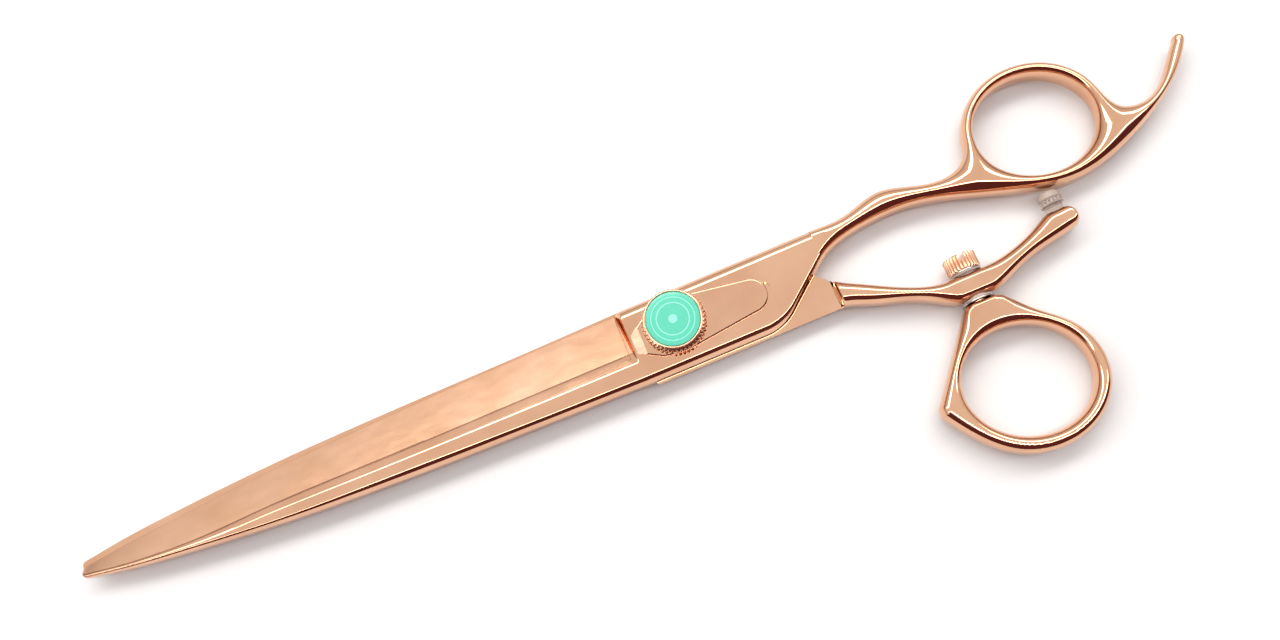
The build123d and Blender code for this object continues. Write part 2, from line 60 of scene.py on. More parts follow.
def cubic(points, start=None, end=None, step=0.02):
    """Points along a cubic spline through the given ones; start and end are its end directions."""
    points = np.asarray(points, float)
    count = len(points)
    gaps = np.linalg.norm(np.diff(points, axis=0), axis=1)
    knots = np.concatenate([[0], np.cumsum(gaps)])
    slopes = np.diff(points, axis=0) / gaps[:, None]
    system = np.zeros((count, count))
    right = np.zeros((count, 2))
    for i in range(1, count - 1):
        system[i, i - 1:i + 2] = gaps[i], 2 * (gaps[i - 1] + gaps[i]), gaps[i - 1]
        right[i] = 3 * (gaps[i] * slopes[i - 1] + gaps[i - 1] * slopes[i])
    for row, inner, given, slope in ((0, 1, start, slopes[0]), (-1, -2, end, slopes[-1])):
        if given is None:
            system[row, row], system[row, inner] = 2, 1
            right[row] = 3 * slope
        else:
            system[row, row] = 1
            right[row] = unit(given)
    tangents = np.linalg.solve(system, right)
    line = [points[:1]]
    for i, gap in enumerate(gaps):
        t = np.linspace(0, 1, max(2, int(gap / step)))[1:, None]
        line.append(
            (2 * t**3 - 3 * t**2 + 1) * points[i]
            + (t**3 - 2 * t**2 + t) * gap * tangents[i]
            + (3 * t**2 - 2 * t**3) * points[i + 1]
            + (t**3 - t**2) * gap * tangents[i + 1]
        )
    return np.vstack(line)


def arc(centre, radii, start, sweep, turn=0.0, count=600):
    """An elliptical arc; angles in degrees, turn rotates the whole ellipse."""
    angle = np.radians(start + np.linspace(0, sweep, count))
    x, y = radii[0] * np.cos(angle), radii[1] * np.sin(angle)
    c, s = math.cos(math.radians(turn)), math.sin(math.radians(turn))
    return np.column_stack([centre[0] + x * c - y * s, centre[1] + x * s + y * c])


def through(a, b, c, count=80):
    """The circular arc from a through b to c."""
    a, b, c = (np.asarray(p, float) for p in (a, b, c))
    system = 2 * np.array([b - a, c - a])
    centre = np.linalg.solve(system, [b @ b - a @ a, c @ c - a @ a])
    radius = np.linalg.norm(a - centre)
    angles = [math.atan2(*(p - centre)[::-1]) for p in (a, b, c)]
    swing = [(angle - angles[0]) % (2 * math.pi) for angle in angles]
    sweep = swing[2] if swing[1] < swing[2] else swing[2] - 2 * math.pi
    turn = angles[0] + np.linspace(0, sweep, count)
    return centre + radius * np.column_stack([np.cos(turn), np.sin(turn)])


def straight(*corners):
    """A polyline through the corners, closely sampled."""
    parts = [
        np.linspace(a, b, max(2, int(np.linalg.norm(np.subtract(b, a)) / 0.02)))
        for a, b in zip(corners, corners[1:])
    ]
    return np.vstack(parts)


class Side:
    """One side of an outline, with the material on its right. It measures distances to itself."""

    SPACING = 0.05
    REACH = 40                        # samples searched each way round the coarse guess

    def __init__(self, *runs, closed=False):
        raw = np.vstack(runs)
        keep = np.concatenate([[True], np.linalg.norm(np.diff(raw, axis=0), axis=1) > 1e-7])
        raw = raw[keep]
        along = np.concatenate([[0], np.cumsum(np.linalg.norm(np.diff(raw, axis=0), axis=1))])
        count = int(along[-1] / self.SPACING)
        at = np.linspace(0, along[-1], count)
        self.points = np.column_stack([np.interp(at, along, raw[:, i]) for i in (0, 1)])
        self.closed = closed
        if closed:
            self.points = self.points[:-1]
            ahead = np.roll(self.points, -1, 0) - np.roll(self.points, 1, 0)
        else:
            ahead = np.gradient(self.points, axis=0)
        ahead /= np.linalg.norm(ahead, axis=1)[:, None]
        self.normals = np.column_stack([ahead[:, 1], -ahead[:, 0]])

    def prepare(self, low, high):
        """Finds the nearest sample for each node of a coarse grid."""
        cell = self.cell = 0.6
        self.low = np.asarray(low, float)
        self.shape = (np.ceil((np.asarray(high) - self.low) / cell).astype(int)) + 2
        x = self.low[0] + cell * np.arange(self.shape[0])
        y = self.low[1] + cell * np.arange(self.shape[1])
        grid = np.stack(np.meshgrid(x, y, indexing="ij"), -1).reshape(-1, 2)
        nearest = np.empty(len(grid), int)
        for chunk in np.array_split(np.arange(len(grid)), max(1, len(grid) // 1500)):
            gap = grid[chunk][:, None] - self.points[None]
            nearest[chunk] = (gap**2).sum(-1).argmin(1)
        self.nearest = nearest.reshape(self.shape)

    def distance(self, xy):
        """Signed distance, positive in the material."""
        index = np.clip(np.rint((xy - self.low) / self.cell).astype(int), 0, self.shape - 1)
        guess = self.nearest[index[:, 0], index[:, 1]]
        window = guess[:, None] + np.arange(-self.REACH, self.REACH + 1)
        last = len(self.points)
        window = window % last if self.closed else np.clip(window, 0, last - 1)
        gap = xy[:, None] - self.points[window]
        pick = (gap**2).sum(-1).argmin(1)
        rows = np.arange(len(xy))
        best, gap = window[rows, pick], gap[rows, pick]
        across = (gap * self.normals[best]).sum(1)
        if not self.closed:
            ends = (best == 0) | (best == last - 1)
            far = np.linalg.norm(gap, axis=1)
            across = np.where(ends, np.where(across < 0, -far, far), across)
        return across


# ================= solids from outlines =================

class Inflated:
    """A handle: its outline is inflated into a rounded bar whose edges roll over smoothly."""

    LEAST_W = 0.9                     # the rounding is never narrower than this, or than `width` says
    END_W = 0.9                       # rounding of the free half of the weld face

    def __init__(self, sides, width, half_height, end_x=None, end_upper=True):
        self.sides = sides
        self.width = width            # rounding width at (x, y)
        self.half_height = half_height
        self.end_x = end_x            # the free half of the weld face is rounded here
        self.end_sign = 1 if end_upper else -1

    def prepare(self, low, high):
        for side in self.sides:
            side.prepare(low, high)

    def plan(self, xy):
        """What depends on (x, y) alone: the edge term, the one at the free end, and the half height."""
        gaps = np.sort(np.stack([side.distance(xy) for side in self.sides], 1), axis=1)
        first, second = gaps[:, 0], gaps[:, 1]
        widest = self.width(xy[:, 0], xy[:, 1])
        half_gap = np.maximum((first + second) / 2, np.minimum(self.LEAST_W, widest))
        w = (half_gap**-4 + widest**-4) ** -0.25
        edge = np.clip(1 - first / w, 0, None) ** ROUND_P
        end = np.zeros(len(xy))
        if self.end_x is not None:
            end = np.clip(1 - (xy[:, 0] - self.end_x) / self.END_W, 0, None) ** ROUND_P
        return edge, end, self.half_height(xy[:, 0])

    def level(self, plan, z):
        """The field at height z over points whose plan is known; it is negative inside."""
        edge, end, half = plan
        free = (z - Z_MID) * self.end_sign > 0
        return edge + np.where(free, end, 0) + (np.abs(z - Z_MID) / half) ** ROUND_Q - 1

    def __call__(self, points):
        return self.level(self.plan(points[:, :2]), points[:, 2])


def gradient(field, points, step=0.01):
    """Central differences of the field."""
    shifts = np.eye(3) * step
    return np.stack([(field(points + s) - field(points - s)) / (2 * step) for s in shifts], 1)


def surface_net(values, low, cell):
    """A quad mesh where the samples change sign, one vertex in each mixed cell."""
    inside = values < 0
    shape = np.array(values.shape) - 1
    corners = [(i, j, k) for i in (0, 1) for j in (0, 1) for k in (0, 1)]

    def corner(array, c):
        return array[c[0]:c[0] + shape[0], c[1]:c[1] + shape[1], c[2]:c[2] + shape[2]]

    filled = sum(corner(inside, c).astype(int) for c in corners)
    mixed = (filled > 0) & (filled < 8)
    index = np.full(shape, -1)
    index[mixed] = np.arange(mixed.sum())
    total = np.zeros((mixed.sum(), 3))
    crossings = np.zeros(mixed.sum())
    for a in corners:
        for axis in range(3):
            if a[axis]:
                continue
            b = tuple(1 if n == axis else a[n] for n in range(3))
            va, vb = corner(values, a)[mixed], corner(values, b)[mixed]
            cut = (va < 0) != (vb < 0)
            share = np.where(cut, va / np.where(cut, va - vb, 1), 0)
            place = np.tile(np.array(a, float), (len(va), 1))
            place[:, axis] = share
            total += place * cut[:, None]
            crossings += cut
    cells = np.argwhere(mixed)
    vertices = low + cell * (cells + total / crossings[:, None])
    quads = []
    for axis in range(3):
        one, two = [n for n in range(3) if n != axis]
        here = [slice(None)] * 3
        there = [slice(None)] * 3
        here[axis], there[axis] = slice(0, -1), slice(1, None)
        a, b = inside[tuple(here)], inside[tuple(there)]
        spots = np.argwhere(a != b)
        spots = spots[(spots[:, one] > 0) & (spots[:, two] > 0)]
        spots = spots[(spots[:, one] < shape[one]) & (spots[:, two] < shape[two])]
        ring = []
        for da, db in ((-1, -1), (0, -1), (0, 0), (-1, 0)):
            place = spots.copy()
            place[:, one] += da
            place[:, two] += db
            ring.append(index[place[:, 0], place[:, 1], place[:, 2]])
        ring = np.stack(ring, 1)
        forward = a[spots[:, 0], spots[:, 1], spots[:, 2]]
        if axis == 1:
            forward = ~forward
        ring[~forward] = ring[~forward][:, ::-1]
        quads.append(ring)
    return vertices, np.vstack(quads)


def settle(field, vertices, quads, rounds=3):
    """Evens the mesh out along the surface and brings every vertex exactly onto it."""
    edges = np.unique(np.sort(np.vstack([quads[:, [i, (i + 1) % 4]] for i in range(4)]), axis=1), axis=0)
    for turn in range(rounds):
        slope = gradient(field, vertices)
        for _ in range(3):
            size = np.maximum((slope**2).sum(1), 1e-6)
            shift = -field(vertices)[:, None] * slope / size[:, None]
            long = np.linalg.norm(shift, axis=1)[:, None]
            vertices = vertices + shift * np.minimum(1, 0.2 / np.maximum(long, 1e-9))
        if turn < rounds - 1:
            total = np.zeros_like(vertices)
            degree = np.zeros(len(vertices))
            for a, b in ((0, 1), (1, 0)):
                np.add.at(total, edges[:, a], vertices[edges[:, b]])
                np.add.at(degree, edges[:, a], 1)
            shift = total / degree[:, None] - vertices
            normal = slope / np.linalg.norm(slope, axis=1)[:, None]
            vertices = vertices + 0.6 * (shift - (shift * normal).sum(1)[:, None] * normal)
    return vertices


def new_object(name, vertices, faces, materials, smooth=True):
    """A mesh object from millimetre vertices."""
    mesh = bpy.data.meshes.new(name)
    mesh.from_pydata([tuple(v) for v in np.asarray(vertices) * MM], [], [list(map(int, f)) for f in faces])
    for material in materials:
        mesh.materials.append(material)
    mesh.update()
    if smooth:
        mesh.shade_smooth()
    thing = bpy.data.objects.new(name, mesh)
    bpy.context.scene.collection.objects.link(thing)
    return thing


def cut_flat(thing, plane_x):
    """Cuts a mesh at a plane square to X, keeps what is right of it and closes it with a flat face."""
    work = bmesh.new()
    work.from_mesh(thing.data)
    everything = work.verts[:] + work.edges[:] + work.faces[:]
    found = bmesh.ops.bisect_plane(
        work, geom=everything, plane_co=(plane_x * MM, 0, 0), plane_no=(1, 0, 0),
        clear_inner=True, dist=1e-7,
    )
    rim = [e for e in found["geom_cut"] if isinstance(e, bmesh.types.BMEdge)]
    caps = bmesh.ops.holes_fill(work, edges=rim)["faces"]
    for face in caps:
        face.smooth = False
    for edge in rim:
        edge.smooth = False
    work.to_mesh(thing.data)
    work.free()


def crisp(thing, angle=28.0):
    """Turns all faces outwards and marks the edges sharper than the angle."""
    work = bmesh.new()
    work.from_mesh(thing.data)
    bmesh.ops.recalc_face_normals(work, faces=work.faces[:])
    for edge in work.edges:
        edge.smooth = not (len(edge.link_faces) == 2 and edge.calc_face_angle(0) > math.radians(angle))
    work.to_mesh(thing.data)
    work.free()


def prism(name, outline, low, high, materials):
    """An upright solid over an outline, between two heights."""
    count = len(outline)
    vertices = np.vstack([np.column_stack([outline, np.full(count, z)]) for z in (low, high)])
    ahead = [(i + 1) % count for i in range(count)]
    faces = [(i, ahead[i], count + ahead[i], count + i) for i in range(count)]
    faces += [range(count - 1, -1, -1), range(count, 2 * count)]
    return new_object(name, vertices, faces, materials)


def drill(centre, radius, low, high, count=72):
    """A cutter: a round rod parallel to Z."""
    turn = np.arange(count) * 2 * math.pi / count
    ring = np.column_stack([centre[0] + radius * np.cos(turn), centre[1] + radius * np.sin(turn)])
    return prism("cutter", ring, low, high, [])


def block(low, high):
    """A cutter: a box between two corners."""
    vertices = [(x, y, z) for x in (low[0], high[0]) for y in (low[1], high[1]) for z in (low[2], high[2])]
    faces = [(0, 1, 3, 2), (4, 6, 7, 5), (0, 4, 5, 1), (2, 3, 7, 6), (0, 2, 6, 4), (1, 5, 7, 3)]
    return new_object("cutter", vertices, faces, [], smooth=False)


def cut_away(thing, *cutters):
    """Subtracts closed cutters from a piece and removes them."""
    for cutter in cutters:
        change = thing.modifiers.new("cut", "BOOLEAN")
        change.operation = "DIFFERENCE"
        change.solver = "EXACT"
        change.object = cutter
    whole = bpy.data.meshes.new_from_object(thing.evaluated_get(bpy.context.evaluated_depsgraph_get()))
    thing.modifiers.clear()
    thing.data, old = whole, thing.data
    bpy.data.meshes.remove(old)
    whole.name = thing.name
    for cutter in cutters:
        bpy.data.objects.remove(cutter)


def lathe(name, profile, material, origin, along, steps=96, ribs=0, rib_depth=0.0):
    """A turned piece. The profile is (radius, height, share of the rib depth), and it runs from axis to
    axis or closes on itself. along is the axis, "Y" or "Z". Ribs have round backs and narrow grooves."""
    turn = np.arange(steps) * 2 * math.pi / steps
    groove = 1 - np.abs(np.sin(ribs * turn / 2)) ** 0.6 if ribs else np.zeros(steps)
    vertices, rings = [], []
    for radius, height, *rest in profile:
        share = rest[0] if rest else 0
        if radius == 0:
            rings.append([len(vertices)] * steps)
            around = [(0.0, 0.0)]
        else:
            rings.append(list(range(len(vertices), len(vertices) + steps)))
            reach = radius - share * rib_depth * groove
            around = zip(reach * np.cos(turn), reach * np.sin(turn))
        for a, b in around:
            vertices.append((a, height, b) if along == "Y" else (a, b, height))
    if profile[0][0] > 0:
        rings.append(rings[0])
    faces = []
    for low, high in zip(rings, rings[1:]):
        for i in range(steps):
            j = (i + 1) % steps
            corners = [low[i], low[j], high[j], high[i]]
            faces.append(list(dict.fromkeys(corners)))
    thing = new_object(name, np.array(vertices) + origin, faces, [material])
    crisp(thing, 35.0)
    return thing


def exact_normals(thing, field):
    """Takes the shading normals from the field itself, except on flat faces."""
    mesh = thing.data
    count = len(mesh.vertices)
    places = np.zeros(count * 3)
    mesh.vertices.foreach_get("co", places)
    slope = gradient(field, places.reshape(-1, 3) / MM)
    slope /= np.maximum(np.linalg.norm(slope, axis=1), 1e-9)[:, None]
    corner_vertex = np.zeros(len(mesh.loops), int)
    mesh.loops.foreach_get("vertex_index", corner_vertex)
    normals = slope[corner_vertex]
    for face in mesh.polygons:
        if not face.use_smooth:
            normals[face.loop_start:face.loop_start + face.loop_total] = face.normal
    mesh.normals_split_custom_set([tuple(n) for n in normals])


def inflate(name, field, low, high, cell, material, cut_x=None):
    """Meshes an inflated outline between two corners."""
    low, high = np.asarray(low, float), np.asarray(high, float)
    field.prepare(low[:2] - 1, high[:2] + 1)
    counts = np.ceil((high - low) / cell).astype(int) + 1
    axes = [low[n] + cell * np.arange(counts[n]) for n in range(3)]
    values = np.empty(counts)
    flat = np.stack(np.meshgrid(axes[0], axes[1], indexing="ij"), -1).reshape(-1, 2)
    plan = field.plan(flat)
    for k, z in enumerate(axes[2]):
        values[:, :, k] = field.level(plan, z).reshape(counts[:2])
    vertices, quads = surface_net(values, low, cell)
    vertices = settle(field, vertices, quads)
    thing = new_object(name, vertices, quads, [material])
    if cut_x is not None:
        cut_flat(thing, cut_x)
    exact_normals(thing, field)
    return thing


# ================= materials =================

class Look:
    """A node tree under construction, with the nodes that the finishes share."""

    def __init__(self, tree):
        self.nodes, self.links = tree.nodes, tree.links

    def place(self):
        return self.nodes.new("ShaderNodeTexCoord").outputs["Object"]

    def noise(self, place, scale, detail, stretch=(1, 1, 1)):
        """Noise in object space, optionally stretched into streaks."""
        mapping = self.nodes.new("ShaderNodeMapping")
        mapping.inputs["Scale"].default_value = stretch
        self.links.new(place, mapping.inputs["Vector"])
        texture = self.nodes.new("ShaderNodeTexNoise")
        texture.inputs["Scale"].default_value = scale
        texture.inputs["Detail"].default_value = detail
        self.links.new(mapping.outputs["Vector"], texture.inputs["Vector"])
        return texture.outputs["Fac"]

    def ranged(self, value, low, high, start=0.3, stop=0.7):
        """A value mapped from start..stop to low..high."""
        node = self.nodes.new("ShaderNodeMapRange")
        node.inputs["From Min"].default_value = start
        node.inputs["From Max"].default_value = stop
        node.inputs["To Min"].default_value = low
        node.inputs["To Max"].default_value = high
        self.links.new(value, node.inputs["Value"])
        return node.outputs["Result"]

    def ramp(self, value, stops):
        """A colour ramp over a value; stops are (position, (r, g, b))."""
        node = self.nodes.new("ShaderNodeValToRGB")
        elements = node.color_ramp.elements
        while len(elements) < len(stops):
            elements.new(0.5)
        for element, (position, colour) in zip(elements, stops):
            element.position = position
            element.color = (*colour, 1)
        self.links.new(value, node.inputs["Fac"])
        return node.outputs["Color"]

    def bump(self, height, depth, below=None):
        """A bump of the given depth in millimetres."""
        node = self.nodes.new("ShaderNodeBump")
        node.inputs["Strength"].default_value = 1.0
        node.inputs["Distance"].default_value = depth * MM
        self.links.new(height, node.inputs["Height"])
        if below is not None:
            self.links.new(below, node.inputs["Normal"])
        return node.outputs["Normal"]

    def from_pivot(self, reach):
        """Distance from the pivot axis, as a share of reach."""
        mapping = self.nodes.new("ShaderNodeMapping")
        mapping.inputs["Scale"].default_value = (1, 1, 0)
        self.links.new(self.place(), mapping.inputs["Vector"])
        length = self.nodes.new("ShaderNodeVectorMath")
        length.operation = "LENGTH"
        self.links.new(mapping.outputs["Vector"], length.inputs[0])
        return self.ranged(length.outputs["Value"], 0.0, 1.0, 0.0, reach * MM)


class Finish(Look):
    """A material whose shader inputs are fed by procedural nodes."""

    def __init__(self, name):
        self.material = bpy.data.materials.new(name)
        self.material.use_nodes = True
        super().__init__(self.material.node_tree)
        self.shader = self.nodes["Principled BSDF"]

    def feed(self, **sources):
        """Links node outputs to shader inputs; an underscore in a name stands for a space."""
        for name, source in sources.items():
            self.links.new(source, self.shader.inputs[name.replace("_", " ")])

    def fix(self, **values):
        """Sets shader inputs to constants."""
        for name, value in values.items():
            self.shader.inputs[name.replace("_", " ")].default_value = value

    def mottled(self, cloud, tones):
        """A colour between two tones, following a noise."""
        return self.ramp(cloud, [(0.3, tones[0]), (0.7, tones[1])])


def metal(name, tones, rough, ripple, streak=None, streak_depth=0.0):
    """Plated metal: hand-polished ripple, faint wipe marks and, if streak is given, a brushed grain."""
    look = Finish(name)
    place = look.place()
    look.fix(Metallic=1.0)
    look.feed(Base_Color=look.mottled(look.noise(place, 90.0, 4.0), tones))
    look.feed(Roughness=look.ranged(look.noise(place, 700.0, 5.0, stretch=(0.35, 1, 1)), *rough))
    normal = look.bump(look.noise(place, 260.0, 1.0, stretch=(0.6, 1, 1)), ripple)
    if streak is not None:
        normal = look.bump(look.noise(place, 9000.0, 3.0, stretch=streak), streak_depth, below=normal)
    look.feed(Normal=normal)
    return look.material


def turned_metal():
    """Lathe-turned metal with fine rings round the pivot axis."""
    look = Finish("rose_gold_turned")
    look.fix(Metallic=1.0)
    cloud = look.noise(look.place(), 300.0, 4.0)
    rings = look.nodes.new("ShaderNodeTexWave")
    rings.inputs["Scale"].default_value = 9.0
    rings.inputs["Distortion"].default_value = 0.6
    join = look.nodes.new("ShaderNodeCombineXYZ")
    look.links.new(look.from_pivot(5.0), join.inputs["X"])
    look.links.new(join.outputs[0], rings.inputs["Vector"])
    look.feed(
        Base_Color=look.mottled(cloud, ROSE), Normal=look.bump(rings.outputs["Fac"], 0.004),
        Roughness=look.ranged(cloud, 0.14, 0.24))
    return look.material


def teal_resin():
    """Glossy teal resin under a clear coat: fine plain rings, a faint shimmer, and painted shade darkening
    its outer edge where the knob's rim stands over it.
    """
    look = Finish("teal_resin")
    field, line, rim = (0.085, 0.60, 0.41), (0.30, 0.80, 0.66), (0.02, 0.36, 0.24)
    # the last stop darkens the outer edge: painted shade under the knob's rim
    rings = look.ramp(look.from_pivot(5.05), [
        (0.0, line), (0.15, line), (0.17, field), (0.56, field), (0.575, line), (0.60, line), (0.615, field),
        (0.76, field), (0.775, line), (0.79, line), (0.805, field), (0.93, field), (0.98, rim)])
    shimmer = look.noise(look.place(), 4200.0, 2.0)
    blend = look.nodes.new("ShaderNodeMix")
    blend.data_type = "RGBA"
    blend.blend_type = "MULTIPLY"
    blend.inputs["Factor"].default_value = 0.35
    look.links.new(rings, blend.inputs["A"])
    look.links.new(look.ramp(shimmer, [(0.35, (0.72, 0.80, 0.78)), (0.65, (1, 1, 1))]), blend.inputs["B"])
    look.feed(
        Base_Color=blend.outputs["Result"], Roughness=look.ranged(shimmer, 0.16, 0.26),
        Normal=look.bump(rings, 0.01))
    look.fix(Coat_Weight=0.6, Coat_Roughness=0.06)
    return look.material


def plastic(name, tones, rough, clear=0.0, milky=0.0):
    """Moulded plastic or silicone with a fine skin; clear and milky are transmission and subsurface."""
    look = Finish(name)
    place = look.place()
    skin = look.noise(place, 1500.0, 2.0)
    look.feed(
        Base_Color=look.mottled(look.noise(place, 420.0, 3.0), tones),
        Roughness=look.ranged(skin, *rough), Normal=look.bump(skin, 0.012))
    look.fix(Transmission_Weight=clear, Subsurface_Weight=milky, Subsurface_Scale=0.8 * MM)
    return look.material


ROSE = ((0.70, 0.385, 0.235), (0.80, 0.475, 0.305))       # darker and lighter tone of the plating
MIRROR = metal("rose_gold_mirror", ROSE, (0.035, 0.075), 0.012)
SATIN = metal("rose_gold_satin", ((0.74, 0.42, 0.25), (0.83, 0.50, 0.33)), (0.20, 0.27), 0.004,
              streak=(0.02, 1, 1), streak_depth=0.0022)
# painted shade: a darker, rougher plating for the thin line along the foot of the ridge, standing in for the
# crease's shade
CREASE_PAINTED_SHADE = metal("rose_gold_crease_painted_shade", ((0.26, 0.12, 0.075), (0.36, 0.18, 0.115)), (0.28, 0.4), 0.004,
                    streak=(0.02, 1, 1), streak_depth=0.002)
# the nose facet's plating: a rougher ground finish, and a lighter tone painted as the light its slope
# catches
FACET_PAINTED_LIGHT = metal("rose_gold_facet_painted_light", ((0.82, 0.50, 0.34), (0.90, 0.58, 0.41)), (0.16, 0.24), 0.003,
              streak=(1, 0.03, 1), streak_depth=0.0015)
PLATE = metal("rose_gold_brushed", ((0.68, 0.38, 0.235), (0.76, 0.45, 0.295)), (0.07, 0.12), 0.003,
              streak=(1, 0.03, 1), streak_depth=0.0015)
KNURL = metal("rose_gold_knurl", ((0.78, 0.43, 0.27), (0.88, 0.54, 0.36)), (0.16, 0.26), 0.003,
              streak=(1, 1, 1), streak_depth=0.003)
STEEL = metal("washer_steel", ((0.50, 0.41, 0.37), (0.63, 0.53, 0.48)), (0.16, 0.26), 0.004,
              streak=(1, 0.05, 1), streak_depth=0.002)
TURNED = turned_metal()
TEAL = teal_resin()
NYLON = plastic("bush_nylon", ((0.44, 0.37, 0.34), (0.54, 0.46, 0.42)), (0.32, 0.44), milky=0.2)
FROST = plastic("bumper_silicone", ((0.43, 0.345, 0.30), (0.50, 0.41, 0.355)), (0.36, 0.5), milky=0.3)
CLEAR = plastic("bumper_clear", ((0.74, 0.62, 0.55), (0.82, 0.71, 0.64)), (0.10, 0.2), clear=0.8)


# ================= blades =================

STATIONS = np.array([
    # x, spine, facet outer, facet inner, ridge, edge, facet height, ridge height
    (-8.5, -8.4, -7.0, -4.9, -2.25, 6.1, 3.0, 2.45),
    (-30.0, -7.9, -6.6, -4.8, -2.25, 5.9, 3.0, 2.45),
    (-54.0, -7.3, -5.9, -4.5, -2.35, 5.4, 3.0, 2.5),
    (-80.0, -6.0, -5.1, -4.1, -2.3, 4.45, 3.0, 2.55),
    (-97.0, -4.4, -3.6, -3.4, -2.7, 3.3, 2.75, 2.45),
    (-110.0, -2.75, -2.15, -2.0, -1.8, 2.15, 2.1, 1.95),
    (-118.4, -1.2, -0.75, -0.65, -0.5, 1.2, 1.45, 1.35),
])[::-1]
TIP_X = -119.05
NOSE_X = -118.2                       # the rounded nose begins here
CORNER_X = 18.5                       # a tang's long edge turns here
CORNER_R = 10.0
TIP_Y = 0.7                           # the tip closes on this line
NOSE_LOW = 0.55                       # height of the tip's end against the blade there
LEAST_H = 0.03                        # a cutting edge is this blunt
CROWN = 0.03                          # rise of the ground face over a straight one
CROWN_FULL_H = 2.6                    # where the ridge is lower than this, the crown shrinks with it
POCKET_R = 1.4                        # the pocket's corner between ridge and ricasso, in plan
WALL_STEEP = 4.6                      # how much steeper the ricasso wall falls than the ridge shoulder
SHOULDER_EASE = 0.45                  # share of the shoulder over which its slope builds up
CREASE_SHARE = 0.2                    # share of its fall that comes late, as a steep line at the ridge
CREASE_POWER = 24
CREASE_SHADE_WIDTH = 0.2                    # width of the painted shade line along the foot of the ridge: darker plating that stands in for the shade of the crease
EDGE_H = 0.15                         # the ground face meets the edge's own small bevel at this height
EDGE_SLOPE = 1.7
CREASE = 0.02                         # softness of the crease at the ridge
TANG_ROUND = 1.9                      # rounding width of a tang's top edge
NOSE_SHARE = 0.45                     # width of the tip's blunt end against the blade there
THUMB_MID = -0.92                     # the thumb blade is the finger blade turned about this line,
THUMB_BOW = 1.0e-4                    # which bows towards the tip


def station_curve(column, x):
    """A smooth curve through one column of the stations (Catmull-Rom slopes)."""
    knots, values = STATIONS[:, 0], STATIONS[:, column]
    slopes = np.gradient(values, knots)
    i = np.clip(np.searchsorted(knots, x) - 1, 0, len(knots) - 2)
    gap = knots[i + 1] - knots[i]
    t = np.clip((x - knots[i]) / gap, 0, 1)
    return (
        (2 * t**3 - 3 * t**2 + 1) * values[i] + (t**3 - 2 * t**2 + t) * gap * slopes[i]
        + (3 * t**2 - 2 * t**3) * values[i + 1] + (t**3 - t**2) * gap * slopes[i + 1]
    )


def smooth_step(t):
    t = np.clip(t, 0, 1)
    return t * t * (3 - 2 * t)


def diagonal(x, level, end):
    """A long edge at y = level that turns on an arc to reach (WELD_X, end)."""
    slope = (end - level) / (WELD_X - CORNER_X)
    reach = CORNER_R * math.tan(math.atan(abs(slope)) / 2)
    sign = math.copysign(1, slope)
    start = CORNER_X - reach
    stop = CORNER_X + reach * math.cos(math.atan(abs(slope)))
    bend = level + sign * (CORNER_R - np.sqrt(np.clip(CORNER_R**2 - (x - start) ** 2, 0, None)))
    return np.where(x < start, level, np.where(x < stop, bend, level + slope * (x - CORNER_X)))


def roll_off(share):
    """Height (0..1) at a share of the rounding width in from an edge."""
    u = np.clip(1 - share, 0, 1) ** ROUND_P
    return np.clip(1 - u, 0, 1) ** (1 / ROUND_Q)


